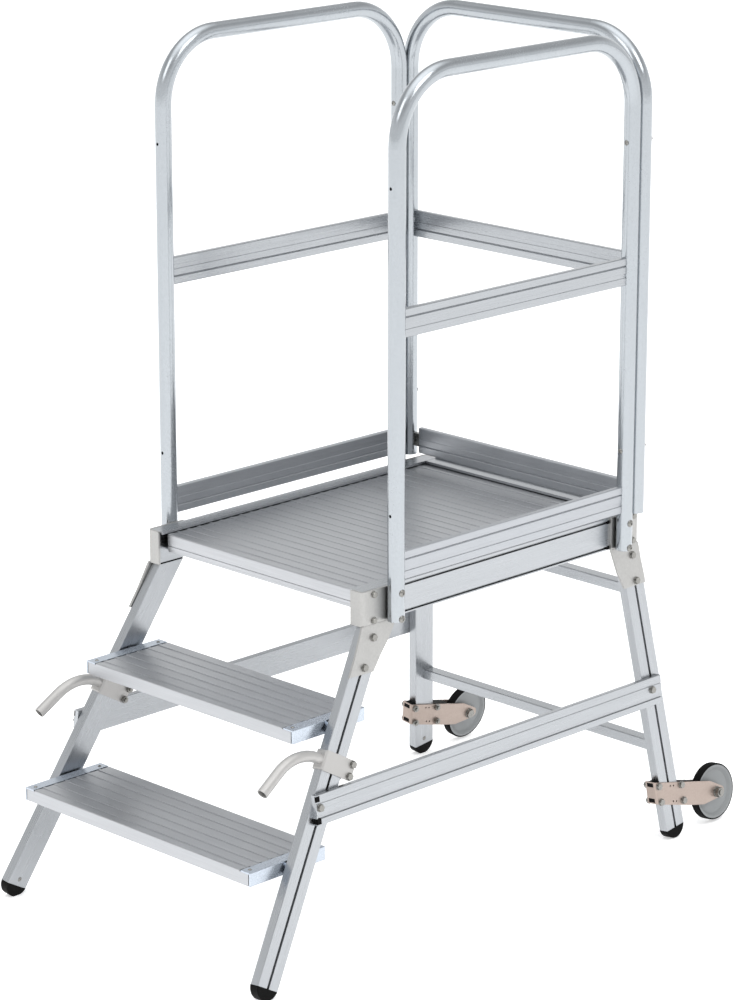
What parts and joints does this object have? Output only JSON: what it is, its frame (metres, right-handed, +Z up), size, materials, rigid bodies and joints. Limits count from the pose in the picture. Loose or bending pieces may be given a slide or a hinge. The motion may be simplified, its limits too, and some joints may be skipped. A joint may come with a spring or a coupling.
{
  "type": "rolling step platform",
  "caption": "Low step platform on splayed aluminium legs with ribbed treads and deck, tubular guardrails on three sides, lift handles and tilt-to-roll rear wheels.",
  "frame": {"origin": "on the floor, under the centre of the whole object's bounding box", "axes": "+Z up, -Y the front that the user climbs from, +X to the user's right when facing the treads"},
  "size_m": [0.7834, 1.4068, 1.7188],
  "materials": {
    "aluminium_board": "satin mill finish",
    "aluminium_profile": "satin mill finish, fine lengthwise draw lines",
    "aluminium_tube": "satin drawn tube",
    "black_plastic": "moulded black plastic",
    "black_tyre": "solid rubber",
    "bracket_sheet": "satin sheet",
    "grey_handle": "light grey coating",
    "grey_wheel_centre": "moulded grey plastic",
    "passivated_steel": "zinc with a warm passivation",
    "ribbed_deck": "ribbed extrusion, dull",
    "ribbed_tread": "ribbed extrusion, dull",
    "zinc_fasteners": "zinc plated",
    "zinc_plate": "bright zinc plate with a faint violet cast"
  },
  "bodies": {
    "frame": {"axle_bolt_left": "zinc_fasteners", "axle_bolt_right": "zinc_fasteners", "axle_nuts": "zinc_fasteners", "brace_bolts": "zinc_fasteners", "bracket_bolts": "zinc_fasteners", "cap_screws": "zinc_fasteners", "clamp_bolts": "zinc_fasteners", "corner_bracket_front_left": "bracket_sheet", "corner_bracket_front_right": "bracket_sheet", "corner_bracket_rear_left": "bracket_sheet", "corner_bracket_rear_right": "bracket_sheet", "cross_member_lower": "aluminium_profile", "cross_member_upper": "aluminium_profile", "deck_filler": "ribbed_deck", "deck_nosing": "ribbed_deck", "deck_planks": "ribbed_deck", "foot_front_left": "black_plastic", "foot_front_right": "black_plastic", "foot_rear_left": "black_plastic", "foot_rear_right": "black_plastic", "foot_rivets": "zinc_fasteners", "guardrail_bolts": "zinc_fasteners", "guardrail_left": "aluminium_tube", "guardrail_rear": "aluminium_tube", "guardrail_right": "aluminium_tube", "hex_nuts": "zinc_fasteners", "joining_screws": "zinc_fasteners", "leg_front_left": "aluminium_profile", "leg_front_right": "aluminium_profile", "leg_rear_left": "aluminium_profile", "leg_rear_right": "aluminium_profile", "lift_handle_left": "grey_handle", "lift_handle_right": "grey_handle", "mid_rail_left": "aluminium_board", "mid_rail_rear": "aluminium_board", "mid_rail_right": "aluminium_board", "profile_plugs": "black_plastic", "rear_beam": "aluminium_profile", "side_beam_left": "aluminium_profile", "side_beam_right": "aluminium_profile", "side_brace_left": "aluminium_profile", "side_brace_right": "aluminium_profile", "toe_board_clips": "zinc_fasteners", "toe_board_left": "aluminium_board", "toe_board_rear": "aluminium_board", "toe_board_right": "aluminium_board", "tread_bolts": "zinc_fasteners", "tread_caps_lower": "zinc_plate", "tread_caps_upper": "zinc_plate", "tread_lower": "ribbed_tread", "tread_upper": "ribbed_tread", "tread_wedges": "zinc_plate", "wheel_bracket_left": "passivated_steel", "wheel_bracket_right": "passivated_steel"},
    "wheel_left": {"tyre_left": "black_tyre", "wheel_rim_left": "grey_wheel_centre", "wheel_bush_left": "zinc_fasteners"},
    "wheel_right": {"tyre_right": "black_tyre", "wheel_rim_right": "grey_wheel_centre", "wheel_bush_right": "zinc_fasteners"}
  },
  "joints": [
    {"name": "wheel_spin_left", "type": "hinge", "parent": "frame", "child": "wheel_left", "pos_m": [-0.36261, 0.64289, 0.06522], "axis": [-0.9925, 0, 0.1219], "continuous": true},
    {"name": "wheel_spin_right", "type": "hinge", "parent": "frame", "child": "wheel_right", "pos_m": [0.36261, 0.64289, 0.06522], "axis": [0.9925, 0, 0.1219], "continuous": true}
  ]
}
